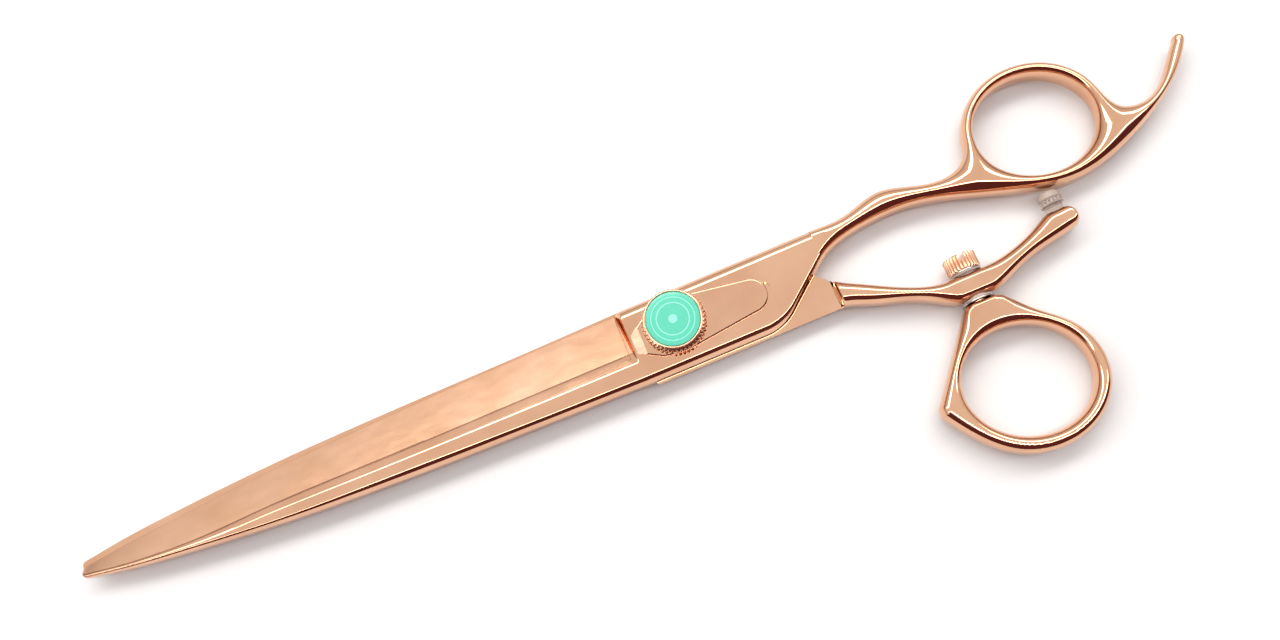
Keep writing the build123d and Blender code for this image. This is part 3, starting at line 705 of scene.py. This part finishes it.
class BladePlan:
    """Outline and outer face of one blade half, drawn spine down and inner face at height 0."""

    def __init__(self, ricasso_x, low, low_end, top, top_end):
        self.ricasso_x = ricasso_x
        self.low, self.low_end, self.top, self.top_end = low, low_end, top, top_end

    def nose(self, x):
        """1 along the blade, falling to 0 on an elliptic curve over the tip."""
        share = np.clip(NOSE_X - x, 0, None) / (NOSE_X - TIP_X)
        return np.sqrt(np.clip(1 - share**2, 0, 1))

    def long_edge(self, x, level, end):
        """One long edge of the tang: diagonal where it turns to the handle, or nearly straight."""
        if abs(end - level) > 1:
            return diagonal(x, level, end)
        return level + (end - level) * np.clip((x - self.ricasso_x) / (WELD_X - self.ricasso_x), 0, 1)

    def outline(self, x):
        """y of the low edge, of both ends of the flat, of the ridge, and of the top edge."""
        blade = np.minimum(x, self.ricasso_x)
        spine, flat_out, flat_in, ridge, edge = (station_curve(n, blade) for n in range(1, 6))
        join = smooth_step((x - self.ricasso_x + 0.7) / 0.7)
        low = spine * (1 - join) + self.long_edge(x, self.low, self.low_end) * join
        top = edge * (1 - join) + self.long_edge(x, self.top, self.top_end) * join
        share = NOSE_SHARE + (1 - NOSE_SHARE) * self.nose(x)
        low, top = TIP_Y + (low - TIP_Y) * share, TIP_Y + (top - TIP_Y) * share
        flat_to = low + (flat_in - spine) / (edge - spine) * (top - low)
        ridge = low + (ridge - spine) / (edge - spine) * (top - low)
        return low, np.minimum(low + (flat_out - spine) * share, flat_to), flat_to, ridge, top

    def height(self, x, y, band):
        """Height of the outer face at (x, y)."""
        low, flat_from, flat_to, ridge, top = band
        facet = station_curve(6, np.minimum(x, self.ricasso_x))
        ridge_h = station_curve(7, np.minimum(x, self.ricasso_x))
        # ground face, gently crowned, running down to the cutting edge
        across = (y - ridge) / np.maximum(top - ridge, 1e-6)
        bulge = np.clip(across, 0, 1)
        crown = 4 * CROWN * bulge * (1 - bulge) * np.minimum(1, ridge_h / CROWN_FULL_H)
        ground = EDGE_H + (ridge_h - EDGE_H) * (1 - across) + crown
        # how far inside the pocket, whose corner is rounded, and how much that is a matter of the wall
        past_wall = np.clip(self.ricasso_x - x, 0, None)
        past_flat = np.clip(y - flat_to, 0, None)
        short_x = np.clip(POCKET_R - past_wall, 0, None)
        short_y = np.clip(POCKET_R - past_flat, 0, None)
        both = short_x**2 + short_y**2
        deep = (short_x == 0) & (short_y == 0)
        inside = np.where(deep, np.minimum(past_wall, past_flat),
                          np.clip(POCKET_R - np.sqrt(both), 0, None))
        wall = np.where(deep, past_wall < past_flat, short_x**2 / np.maximum(both, 1e-9))
        # the shoulder falls from the flat to the ridge, more steeply across the wall
        t = inside * (1 + (WALL_STEEP - 1) * wall) / np.maximum(ridge - flat_to, 1e-3)
        rise = np.where(t < SHOULDER_EASE, t**2 / (2 * SHOULDER_EASE), t - SHOULDER_EASE / 2)
        eased = (1 - CREASE_SHARE) * rise / (1 - SHOULDER_EASE / 2)
        eased = eased + CREASE_SHARE * np.minimum(t, 1.3) ** CREASE_POWER
        shoulder = facet - (facet - ridge_h) * (wall * t**2 + (1 - wall) * eased)
        gap = ground - shoulder
        soft = CREASE * np.minimum(1, inside / 0.5) ** 2
        body = np.where(inside > 0, shoulder + 0.5 * (gap + np.sqrt(gap**2 + soft**2)), facet)
        # rounding along the low edge and along the tang's top edge
        edge_roll = roll_off((y - low) / np.maximum(flat_from - low, 1e-6))
        past = smooth_step((x - self.ricasso_x + 1.1) / 1.1)
        body = np.minimum(body, LEAST_H + EDGE_SLOPE * (top - y) + 10 * past)
        top_roll = 1 - past * (1 - roll_off((top - y) / TANG_ROUND))
        nose = NOSE_LOW + (1 - NOSE_LOW) * self.nose(x)
        return np.maximum(np.minimum(body, facet) * edge_roll * top_roll * nose, LEAST_H)


def blade_rows(ricasso_x):
    """x of the rows of a blade mesh, dense at the nose, the ricasso and the bend."""
    parts = [
        TIP_X + 0.9 * np.array([0.0005, 0.01, 0.03, 0.07, 0.13, 0.21, 0.32, 0.45, 0.6, 0.8, 1.0]),
        np.arange(TIP_X + 1.4, ricasso_x - 2.4, 0.8),
        np.arange(ricasso_x - 2.0, ricasso_x + 0.3, 0.06),
        np.arange(ricasso_x + 0.5, 12.0, 0.6),
        np.arange(12.0, WELD_X - 0.05, 0.3),
        [WELD_X],
    ]
    return np.concatenate(parts)


def blade_columns(band):
    """y of the columns of one row, following the bevel, the flat, the shoulder and the ground face."""
    low, flat_from, flat_to, ridge, top = band
    quarter = np.linspace(0, math.pi / 2, 13)
    roll = 1 - np.cos(quarter)
    ys = [low + (flat_from - low) * roll]
    ys.append(flat_from + (flat_to - flat_from) * np.linspace(0, 1, 6)[1:])
    ys.append(flat_to + (ridge - flat_to) * (1 - (1 - np.linspace(0, 1, 25)[1:]) ** 1.6))
    bevel = min(1.2, 0.3 * (top - ridge))
    start = top - bevel
    ys.append(ridge + (start - ridge) * np.linspace(0, 1, 34)[1:] ** 1.25)
    ys.append(start + bevel * (1 - roll[::-1][1:]))
    return np.concatenate(ys)


def blade(name, plan, place, *cutters):
    """A closed blade: outer face, inner face and the walls between them. place() turns it into the frame."""
    rows = blade_rows(plan.ricasso_x)
    tops, flats, finishes = [], [], []
    for x in rows:
        band = [float(v) for v in plan.outline(np.array(x))]
        ys = blade_columns(band)
        xs = np.full_like(ys, x)
        heights = plan.height(xs, ys, band)
        heights[0] = heights[-1] = LEAST_H
        tops.append(np.column_stack([xs, ys, heights]))
        flats.append(np.column_stack([xs, ys, np.zeros_like(ys)]))
        past = ys - band[3]
        ground = (past > -0.01) & (x < plan.ricasso_x - 0.15)
        # ground faces nearer the ridge than this width take material 2, the darker plating painted as the
        # crease's shade
        finishes.append(np.where(ground, np.where(past < CREASE_SHADE_WIDTH, 2, 1), 0))
    width, count = len(tops[0]), len(rows)
    offset = width * count
    faces, finish = [], []
    for i in range(count - 1):
        for j in range(width - 1):
            a, b = i * width + j, (i + 1) * width + j
            faces.append((a, b, b + 1, a + 1))
            faces.append((offset + a, offset + a + 1, offset + b + 1, offset + b))
            finish += [int(min(finishes[i][j], finishes[i + 1][j])), 0]
        for j in (0, width - 1):
            a, b = i * width + j, (i + 1) * width + j
            faces.append((a, offset + a, offset + b, b))
            finish.append(0)
    for i in (0, count - 1):
        outer = [i * width + j for j in range(width)]
        faces.append(outer + [offset + v for v in reversed(outer)])
        finish.append(0)
    thing = new_object(name, place(np.vstack(tops + flats)), faces, [MIRROR, SATIN, CREASE_PAINTED_SHADE])
    thing.data.polygons.foreach_set("material_index", finish)
    crisp(thing)
    cut_away(thing, *cutters)
    crisp(thing)
    return thing


def upper_place(points):
    return points + [0, 0, Z_FRONT]


def lower_place(points):
    middle = THUMB_MID + THUMB_BOW * np.minimum(points[:, 0], 0) ** 2
    return np.column_stack([points[:, 0], 2 * middle - points[:, 1], Z_INNER - points[:, 2]])


# ================= the pieces =================

def handle_height(x):
    """Half thickness of the finger handle, thinning along the finger rest."""
    return HALF_T - 1.5 * smooth_step((x - 86.0) / 22.0)


def finger_width(x, y):
    """Rounding width of the finger handle: narrow at the weld, so the flat runs out along the shank."""
    return 1.4 + 1.6 * smooth_step((x - WELD_X) / 10.0)


def make_finger_handle():
    ring = arc((74.6, 8.2), (13.4, 12.2), 33, 143, turn=-8.0)[::-1]
    shank = cubic(
        [(29, 6.4), (36.0, 6.6), (43.3, 8.35), (50.0, 6.7), (55.4, 5.85), (59.7, 7.4), ring[0]],
        (1, 0), ring[1] - ring[0])
    rest = cubic(
        [ring[-1], (90.0, 5.7), (93.6, 4.6), (98.4, 6.7), (104.2, 13.1)], ring[-1] - ring[-2], (0.7, 0.7))
    tip = through((104.2, 13.1), (105.9, 13.9), (106.3, 12.5))
    low = cubic([
        (106.3, 12.5), (102.7, 7.9), (97.1, 3.5), (88.4, -1.0), (76.5, -3.8), (68.7, -2.4),
        (57.0, 1.4), (47.0, 3.65), (38.5, 3.4), (29, 0.2)], (-0.5, -0.85), (-1, -0.82))
    along = unit(low[-1] - low[-2])
    half = len(tip) // 2
    top_side = Side(straight((25, 6.4), (28.99, 6.4)), shank, ring, rest, tip[:half])
    low_side = Side(tip[half:], low, straight(low[-1] + along * 0.02, low[-1] + along * 4))
    hole = Side(arc((74.6, 8.4), (11.1, 9.5), 0, 360, turn=-10.0), closed=True)
    field = Inflated([top_side, low_side, hole], finger_width, handle_height, WELD_X, end_upper=False)
    return inflate("finger_handle_shell", field, (28.4, -5.0, 0.3), (107.4, 21.5, 7.3), 0.36, MIRROR, WELD_X)


def thumb_width(x, y):
    """Rounding width of the thumb handle; tight round the eye so that the washers sit on flat seats."""
    eye = np.exp(-((x - 51.8) / 4.6) ** 4)
    return 1.7 - 0.35 * eye


def make_thumb_handle():
    top = cubic([(29, -3.4), (33.4, -6.1), (40.5, -9.9), (48.0, -12.0)], (1, -0.9), (1, 0))
    post = cubic([(55.2, -12.0), (62.0, -10.8), (67.0, -8.7), (70.0, -7.6)], (1, 0), (1, 0))
    cap = through((72.2, -7.6), (74.3, -9.4), (73.4, -11.6))
    post_low = cubic([(73.4, -11.6), (65.0, -13.4), (59.8, -15.2), (54.6, -16.8)], (-1, -0.3), (-1, 0))
    shank_low = cubic(
        [(49.6, -16.8), (44.5, -14.6), (39.0, -12.2), (33.5, -10.35), (29, -8.9)], (-1, 0), (-1, 0.1))
    half = len(cap) // 2
    lead = unit((-1, 0.9))
    start = np.array((29, -3.4))
    top_side = Side(
        straight(start + lead * 4, start + lead * 0.02), top, straight((48.0, -12.0), (55.2, -12.0)), post,
        straight((70.0, -7.6), (72.2, -7.6)), cap[:half])
    low_side = Side(
        cap[half:], post_low, straight((54.6, -16.8), (49.6, -16.8)), shank_low,
        straight((28.98, -8.9), (25, -8.5)))
    field = Inflated([top_side, low_side], thumb_width, lambda x: HALF_T + 0 * x, WELD_X, end_upper=True)
    return inflate("thumb_handle_shell", field, (28.4, -18.0, 0.3), (75.5, -2.0, 7.3), 0.3, MIRROR, WELD_X)


def ring_width(x, y):
    """Rounding width of the thumb ring; tight on the boss that carries the washer."""
    boss = np.exp(-((x - 51.9) / 4.6) ** 4) * smooth_step((y + 22.0) / 3.0)
    return 1.9 - 1.0 * boss


def make_thumb_ring():
    top_y = -17.42
    spur = np.array((36.4, -33.3))
    boss_left, boss_right = np.array((48.9, top_y)), np.array((55.0, top_y))
    low = cubic(
        [spur, (46.8, -45.0), (53.4, -46.7), (62.0, -44.4), (66.8, -38.6), (67.3, -32.8),
         (64.9, -27.3), (60.0, -22.6), boss_right], (0.6, -1), (-1.3, 1))
    flank = unit(boss_left - spur)
    departing = unit(low[40] - spur)
    spur_corner = through(spur + flank * 1.1, spur + unit(flank + departing) * 0.55, spur + departing * 1.1)
    left_corner = through(
        boss_left - flank, boss_left + unit(np.array((1, 0)) - flank) * 0.35, boss_left + (1.0, 0))
    arriving = unit(low[-1] - low[-40])
    right_corner = through(
        boss_right - (1.0, 0), boss_right - unit(np.array((1, 0)) + arriving) * 0.3, boss_right - arriving)
    clear_of_spur = np.linalg.norm(low - spur, axis=1) > 1.1
    clear_of_boss = np.linalg.norm(low - boss_right, axis=1) > 1.0
    ring_line = low[clear_of_spur & clear_of_boss]
    outer = np.vstack([
        left_corner, straight(left_corner[-1], right_corner[0]), right_corner, ring_line[::-1],
        spur_corner[::-1], straight(spur_corner[0], left_corner[0])])
    outside = Side(outer, closed=True)
    hole = Side(arc((53.3, -33.6), (11.4, 9.9), 0, 360, turn=-17.0), closed=True)
    field = Inflated([outside, hole], ring_width, lambda x: HALF_T - 0.025 + 0 * x)
    return inflate("thumb_ring_shell", field, (34.6, -47.6, 0.3), (69.2, -16.6, 7.3), 0.33, MIRROR)


PIVOT = (0, 0, 0)
SWIVEL = (51.8, 0, Z_MID)             # the swivel axis, parallel to Y
BUMPER = (71.3, 0, Z_MID)
SEAT_UP, SEAT_LOW = -12.0, -16.8      # y of the two seats of the eye


def make_click_plate():
    """The teardrop plate, with a sloped nose facet and rounded top edges."""
    base, top, nose_x, slope_x, nose_drop, rounding, bore = 6.85, 7.35, -8.3, -6.6, 0.42, 0.3, 2.2
    upper = (base + 0.1) * MM         # vertices above this belong to the top face
    outline = np.vstack([
        through((-5.0, 3.2), (-0.2, 4.3), (4.3, 3.95), 24),
        through((15.2, 2.15), (17.7, -0.95), (14.9, -4.05), 32),
        through((3.4, -5.35), (-0.5, -5.6), (-4.2, -5.0), 20),
        [(nose_x, -2.7), (nose_x, 0.8)],
    ])
    thing = prism("click_plate_body", outline, base, top, [PLATE, FACET_PAINTED_LIGHT])
    work = bmesh.new()
    work.from_mesh(thing.data)
    everything = work.verts[:] + work.edges[:] + work.faces[:]
    bmesh.ops.bisect_plane(work, geom=everything, plane_co=(slope_x * MM, 0, 0), plane_no=(1, 0, 0))
    for vertex in work.verts:
        run = slope_x - vertex.co.x / MM
        if run > 0 and vertex.co.z > upper:
            vertex.co.z -= nose_drop * run / (slope_x - nose_x) * MM
    bmesh.ops.recalc_face_normals(work, faces=work.faces[:])
    rim = [
        e for e in work.edges
        if len(e.link_faces) == 2 and sorted(abs(f.normal.z) > 0.5 for f in e.link_faces) == [False, True]
        and min(v.co.z for v in e.verts) > upper
    ]
    bmesh.ops.bevel(work, geom=rim, offset=rounding * MM, segments=6, profile=0.5, affect="EDGES")
    for face in work.faces:
        face.smooth = abs(face.normal.z) < 0.96
        # the sloped nose facet takes material 1, whose lighter tone is painted light
        face.material_index = int(face.normal.x < -0.15 and face.normal.z > 0.9)
    work.to_mesh(thing.data)
    work.free()
    cut_away(thing, drill((0, 0), bore, base - 1, top + 1))
    crisp(thing)
    return thing


def make_dial_knob():
    """The knob: thread bore and washer recess below, beaded grip, waisted neck and a bright rim."""
    profile = [
        (0, 9.53), (2.03, 9.53), (2.03, 7.70), (4.75, 7.70), (4.75, 7.45), (5.35, 7.45), (5.65, 7.55, 0.3),
        (5.87, 7.75, 0.8), (5.98, 8.0, 1), (6.0, 8.25, 1), (5.94, 8.5, 0.9), (5.78, 8.7, 0.6),
        (5.5, 8.85, 0.2), (5.25, 8.93), (5.1, 9.02), (5.1, 9.38), (5.16, 9.46), (5.3, 9.58), (5.35, 9.68),
        (5.35, 10.28), (5.32, 10.36),
        (5.24, 10.4), (5.12, 10.4), (5.06, 10.36), (5.06, 10.05), (0, 10.05)]
    return lathe("dial_knob_body", profile, KNURL, PIVOT, "Z", steps=352, ribs=44, rib_depth=0.5)


def make_dial_insert():
    """The slightly domed disc in the knob."""
    radius, base, rise = 5.03, 10.06, 10.345
    dome = [(r, rise + 0.045 * (1 - (r / 4.8) ** 2)) for r in (4.8, 4.0, 3.0, 2.0, 1.0, 0)]
    profile = [(0, base), (radius, base), (radius, 10.22), (4.99, 10.29), (4.92, 10.33), *dome]
    return lathe("dial_insert_body", profile, TEAL, PIVOT, "Z", steps=128)


def washer_profile(bore, radius, low, high, edge=0.07):
    """A flat ring with rounded outer edges."""
    return [
        (bore, low), (radius - edge, low), (radius - 0.3 * edge, low + 0.3 * edge), (radius, low + edge),
        (radius, high - edge), (radius - 0.3 * edge, high - 0.3 * edge), (radius - edge, high), (bore, high)]


def bush_profile(seat, inward):
    """A sleeve that reaches into the eye, and a flange on its seat."""
    out = [seat - inward * t for t in (0.0, 0.07, 0.21, 0.28)]
    end = seat + inward * 2.2
    return [
        (1.53, end), (2.2, end), (2.2, out[0]), (2.83, out[0]), (2.9, out[1]), (2.9, out[2]),
        (2.83, out[3]), (1.53, out[3])]


def make_swivel_screw():
    """The ribbed thumb screw with its slot and shaft."""
    head_low, head_top = -11.38, -8.38
    profile = [
        (0, -21.2), (1.25, -21.2), (1.5, -20.95), (1.5, head_low), (2.86, head_low, 0.3),
        (3.0, head_low + 0.08, 0.8), (3.05, head_low + 0.2, 1), (3.05, head_top - 0.4, 1),
        (3.0, head_top - 0.2, 0.9), (2.88, head_top - 0.06, 0.4), (2.66, head_top), (0, head_top)]
    screw = lathe("swivel_screw_body", profile, KNURL, SWIVEL, "Y", steps=208, ribs=26, rib_depth=0.3)
    x, _, z = SWIVEL
    cut_away(screw, block((x - 0.6, head_top - 1.4, z - 4), (x + 0.6, head_top + 1, z + 4)))
    crisp(screw, 35.0)
    return screw


def make_bumper_screw():
    """The clear stem, neck and faceted collar."""
    profile = [
        (0, -9.5), (1.45, -9.5), (1.6, -9.35), (1.6, -6.6), (1.68, -6.5), (2.0, -6.5, 0.4), (2.15, -6.36, 1),
        (2.15, -5.4, 1), (2.08, -5.28, 0.6), (1.95, -5.25), (0, -5.25)]
    return lathe("bumper_screw_body", profile, CLEAR, BUMPER, "Y", steps=160, ribs=16, rib_depth=0.16)


def make_bumper_dome():
    """The soft dome that meets the finger handle."""
    crown = [
        (0.75 + 1.3 * math.cos(turn), -4.95 + 1.3 * math.sin(turn))
        for turn in np.linspace(0, math.pi / 2, 14)]
    profile = [(0, -5.25), (1.9, -5.25), (2.01, -5.2), (2.05, -5.1), *crown, (0, -3.65)]
    return lathe("bumper_dome_body", profile, FROST, BUMPER, "Y", steps=96)


def make_small_pieces():
    """The turned pieces of the swivel, the bumper and the dial, and the click plate."""
    swivel = {"material": STEEL, "origin": SWIVEL, "along": "Y"}
    bush = {"material": NYLON, "origin": SWIVEL, "along": "Y"}
    washer_up = washer_profile(1.51, 2.9, SEAT_UP + 0.31, SEAT_UP + 0.61)
    washer_low = washer_profile(1.51, 3.05, SEAT_LOW - 0.61, SEAT_LOW - 0.31)
    return (
        (make_click_plate(), "click_plate", "finger_half", "plate_rose_gold"),
        (make_dial_knob(), "dial_knob", "dial", "dial_rose_gold"),
        (make_dial_insert(), "dial_insert", "dial", "insert_teal"),
        (make_swivel_screw(), "swivel_screw", "thumb_loop", "screw_rose_gold"),
        (lathe("upper_washer_ring", washer_up, **swivel), "upper_swivel_washer", "thumb_loop",
         "washer_steel"),
        (lathe("lower_washer_ring", washer_low, **swivel), "lower_swivel_washer", "thumb_loop",
         "washer_steel"),
        (lathe("upper_bush_body", bush_profile(SEAT_UP, -1), **bush), "upper_swivel_bush",
         "thumb_half", "bush_nylon"),
        (lathe("lower_bush_body", bush_profile(SEAT_LOW, 1), **bush), "lower_swivel_bush",
         "thumb_half", "bush_nylon"),
        (make_bumper_screw(), "bumper_screw", "thumb_half", "bumper_clear"),
        (make_bumper_dome(), "bumper_dome", "thumb_half", "bumper_frosted"),
    )


def make_pieces():
    finger_plan = BladePlan(-8.5, low=-8.4, low_end=0.2, top=6.4, top_end=6.4)
    finger_blade = blade(
        "finger_blade_shell", finger_plan, upper_place,
        drill((0, 0), 2.51, 3.0, 8.0), drill((17.5, -0.45), 0.95, 6.25, 7.5))
    # the thumb half is drawn spine down too, so its long edges swap sides
    turn = 2 * THUMB_MID
    thumb_plan = BladePlan(-6.8, low=turn - 6.6, low_end=turn + 3.4, top=turn + 8.9, top_end=turn + 8.9)
    thumb_blade = blade(
        "thumb_blade_shell", thumb_plan, lower_place,
        drill((0, 0), 5.31, 3.2, 4.5), drill((0, 0), 3.51, 0.2, 4.0))
    for piece, node, body, slot in (
        (finger_blade, "finger_blade", "finger_half", "blade_rose_gold"),
        (thumb_blade, "thumb_blade", "thumb_half", "blade_rose_gold"),
        (make_finger_handle(), "finger_handle", "finger_half", "handle_rose_gold"),
        (make_thumb_handle(), "thumb_handle", "thumb_half", "handle_rose_gold"),
        (make_thumb_ring(), "thumb_ring", "thumb_loop", "handle_rose_gold"),
        *make_small_pieces(),
    ):
        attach(piece, body)
        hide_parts(node)


# ================= stage =================

def make_floor():
    """A wide pale floor with a faint mottle."""
    look = Finish("pale_floor")
    mottle = look.noise(look.place(), 14.0, 3.0)
    look.feed(Base_Color=look.mottled(mottle, ((0.80, 0.80, 0.80), (0.83, 0.83, 0.83))))
    look.fix(Roughness=0.9, Specular_IOR_Level=0.1)
    side = 2500.0
    floor = new_object("floor", [(-side, -side, 0), (side, -side, 0), (side, side, 0), (-side, side, 0)],
                       [(0, 1, 2, 3)], [look.material], smooth=False)
    floor.location.z = -0.00001


def make_camera():
    """The camera at the viewing angle of the picture, slightly rolled."""
    place = Vector((0.0, -49.988, 230.681))
    aim = Vector((-5.592, 2.924, 6.85))
    roll = math.radians(22.8)
    forward = (aim - place).normalized()
    across = (Vector((1, 0, 0)) - forward * forward.x).normalized()
    down = forward.cross(across)
    right = math.cos(roll) * across + math.sin(roll) * down
    down = forward.cross(right)
    camera_data = bpy.data.cameras.new("camera")
    camera_data.lens = 35.58
    camera_data.sensor_width = 36.0
    camera_data.clip_start = 0.01
    camera = bpy.data.objects.new("camera", camera_data)
    turn = Matrix((right, -down, -forward)).transposed()
    camera.matrix_world = Matrix.Translation(place * MM) @ turn.to_4x4()
    bpy.context.scene.collection.objects.link(camera)
    bpy.context.scene.camera = camera


def softbox(name, y, depth, radiance):
    """A long overhead light of even radiance, facing straight down."""
    size = (1.3, depth)
    data = bpy.data.lights.new(name, "AREA")
    data.shape = "RECTANGLE"
    data.size, data.size_y = size
    data.energy = radiance * math.pi * size[0] * size[1]
    light = bpy.data.objects.new(name, data)
    light.location = (-0.05, y, 0.6)
    light.rotation_mode = "QUATERNION"
    light.rotation_quaternion = Vector((0, 0, -0.6)).to_track_quat("-Z", "Y")
    bpy.context.scene.collection.objects.link(light)


def make_world():
    """A bright room with a darker side towards -Y, which draws the dark bands along the lower edges."""
    world = bpy.data.worlds.new("studio")
    world.use_nodes = True
    look = Look(world.node_tree)
    split = look.nodes.new("ShaderNodeSeparateXYZ")
    look.links.new(look.nodes.new("ShaderNodeTexCoord").outputs["Generated"], split.inputs[0])
    height = look.ranged(split.outputs["Z"], 0.0, 1.0, 0.0, 0.85)
    sky = look.ramp(height, [
        (0.0, (0.50, 0.47, 0.45)), (0.55, (0.86, 0.84, 0.82)), (1.0, (1.0, 0.99, 0.98))])
    side = look.ranged(split.outputs["Y"], 1.0, 0.0, -0.30, -0.19)
    blend = look.nodes.new("ShaderNodeMix")
    blend.data_type = "RGBA"
    look.links.new(side, blend.inputs["Factor"])
    look.links.new(sky, blend.inputs["A"])
    blend.inputs["B"].default_value = (0.12, 0.035, 0.035, 1)
    background = look.nodes["Background"]
    look.links.new(blend.outputs["Result"], background.inputs["Color"])
    background.inputs["Strength"].default_value = 1.0
    bpy.context.scene.world = world


def make_stage():
    make_floor()
    make_camera()
    make_world()
    softbox("strip_near", -0.10, 0.06, 7.0)
    softbox("strip_far", 0.3175, 0.205, 5.0)
    bpy.context.scene.view_settings.view_transform = "Standard"


def finish_cad_nodes():
    """Finishes for the pieces that keep their CAD shape."""
    finishes = {
        "pivot_screw": TURNED, "wave_washer": STEEL, "thrust_washer": NYLON, "pivot_bush": NYLON,
    }
    for name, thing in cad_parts.items():
        material = finishes.get(name)
        if material is None:
            continue
        thing.data.materials.clear()
        thing.data.materials.append(material)


make_stage()
make_pieces()
finish_cad_nodes()
